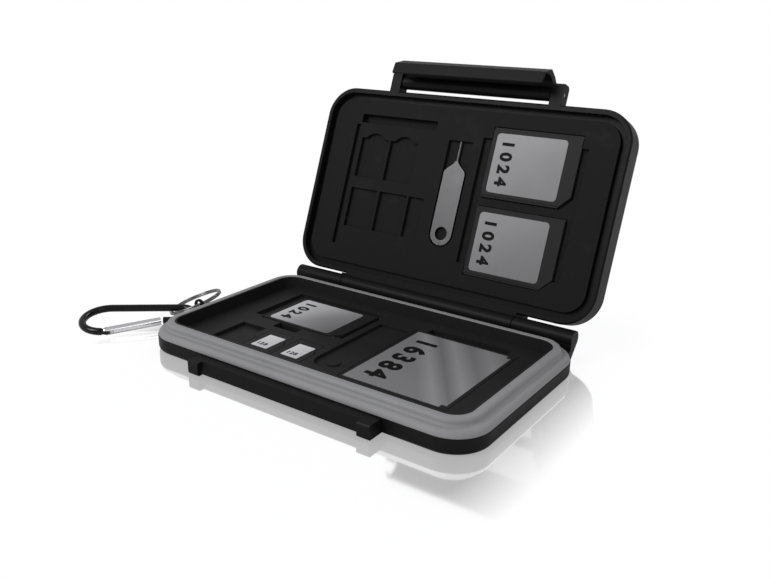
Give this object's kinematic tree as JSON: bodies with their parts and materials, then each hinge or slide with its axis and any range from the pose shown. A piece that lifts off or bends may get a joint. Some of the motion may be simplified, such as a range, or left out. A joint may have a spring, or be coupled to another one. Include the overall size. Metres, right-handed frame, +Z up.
{
  "type": "memory card case",
  "caption": "Hinged hard case for memory cards, open, with a seal, trays, a hook latch, an ejector pin and a snap hook on a split ring.",
  "frame": {"origin": "centre of the base's flat underside", "axes": "+X along the hinge to the right, +Y from the latch side to the hinge side, +Z up"},
  "size_m": [0.1536, 0.1128, 0.0869],
  "materials": {
    "shell_plastic": "fine satin grain",
    "tray_plastic": "matt",
    "seal_silicone": "matt",
    "pin_steel": "drawn wire",
    "ring_steel": "polished",
    "ejector_steel": "satin",
    "black_lacquer": "gloss",
    "bright_aluminium": "bright",
    "card_plastic": "matt",
    "lock_plastic": "matt",
    "card_label": "satin foil"
  },
  "bodies": {
    "base": {"base_shell": "shell_plastic", "base_seal": "seal_silicone", "base_tray": "tray_plastic", "hinge_pin": "pin_steel"},
    "lid": {"lid_shell": "shell_plastic", "lid_tray": "tray_plastic", "latch_pin": "pin_steel"},
    "latch": {"latch": "shell_plastic"},
    "lid_card_upper": {"lid_card_upper": "card_plastic", "lid_card_upper_label": "card_label"},
    "lid_card_upper_lock": {"lid_card_upper_lock": "lock_plastic"},
    "lid_card_lower": {"lid_card_lower": "card_plastic", "lid_card_lower_label": "card_label"},
    "lid_card_lower_lock": {"lid_card_lower_lock": "lock_plastic"},
    "base_card": {"base_card": "card_plastic", "base_card_label": "card_label"},
    "base_card_lock": {"base_card_lock": "lock_plastic"},
    "micro_card_left": {"micro_card_left": "card_plastic", "micro_card_left_label": "card_label"},
    "micro_card_right": {"micro_card_right": "card_plastic", "micro_card_right_label": "card_label"},
    "thick_card": {"thick_card": "card_plastic", "thick_card_label": "card_label"},
    "ejector_pin": {"ejector_pin": "ejector_steel"},
    "split_ring": {"split_ring": "ring_steel"},
    "snap_hook": {"snap_hook": "black_lacquer", "gate_pin": "pin_steel"},
    "snap_gate": {"snap_gate": "bright_aluminium", "gate_spring": "pin_steel"}
  },
  "joints": [
    {"name": "lid_hinge", "type": "hinge", "parent": "base", "child": "lid", "pos_m": [0, 0.0382, 0.00775], "axis": [1, 0, 0], "range_deg": [0, 110.5]},
    {"name": "latch_hinge", "type": "hinge", "parent": "lid", "child": "latch", "pos_m": [0, 0.06763, 0.07874], "axis": [1, 0, 0], "range_deg": [-95, 17]},
    {"name": "lid_card_upper_slide", "type": "slide", "parent": "lid", "child": "lid_card_upper", "axis": [0, 0.9367, -0.3502], "range_m": [-0.01, 0]},
    {"name": "lid_card_lower_slide", "type": "slide", "parent": "lid", "child": "lid_card_lower", "axis": [0, 0.9367, -0.3502], "range_m": [-0.01, 0]},
    {"name": "ejector_pin_slide", "type": "slide", "parent": "lid", "child": "ejector_pin", "axis": [0, 0.9367, -0.3502], "range_m": [-0.01, 0]},
    {"name": "base_card_slide", "type": "slide", "parent": "base", "child": "base_card", "axis": [0, 0, -1], "range_m": [-0.01, 0]},
    {"name": "micro_card_left_slide", "type": "slide", "parent": "base", "child": "micro_card_left", "axis": [0, 0, -1], "range_m": [-0.01, 0]},
    {"name": "micro_card_right_slide", "type": "slide", "parent": "base", "child": "micro_card_right", "axis": [0, 0, -1], "range_m": [-0.01, 0]},
    {"name": "thick_card_slide", "type": "slide", "parent": "base", "child": "thick_card", "axis": [0, 0, -1], "range_m": [-0.01, 0]},
    {"name": "lid_card_upper_lock_slide", "type": "slide", "parent": "lid_card_upper", "child": "lid_card_upper_lock", "axis": [1, 0, 0], "range_m": [-0.0022, 0]},
    {"name": "lid_card_lower_lock_slide", "type": "slide", "parent": "lid_card_lower", "child": "lid_card_lower_lock", "axis": [1, 0, 0], "range_m": [-0.0022, 0]},
    {"name": "base_card_lock_slide", "type": "slide", "parent": "base_card", "child": "base_card_lock", "axis": [1, 0, 0], "range_m": [-0.0022, 0]},
    {"name": "ring_swing", "type": "hinge", "parent": "base", "child": "split_ring", "pos_m": [-0.0624, -0.0089, 0.0063], "axis": [0, -1, 0], "range_deg": [-15, 0]},
    {"name": "hook_swing", "type": "hinge", "parent": "split_ring", "child": "snap_hook", "pos_m": [-0.0687, -0.01321, 0.00336], "axis": [0.6165, -0.775, -0.1392], "range_deg": [-10, 0]},
    {"name": "gate_hinge", "type": "hinge", "parent": "snap_hook", "child": "snap_gate", "pos_m": [-0.07805, -0.03647, 0.00162], "axis": [-0.0866, 0.1089, -0.9903], "range_deg": [-24, 0], "stiffness_Nm_per_rad": 0.004, "springref_deg": 17.19}
  ]
}
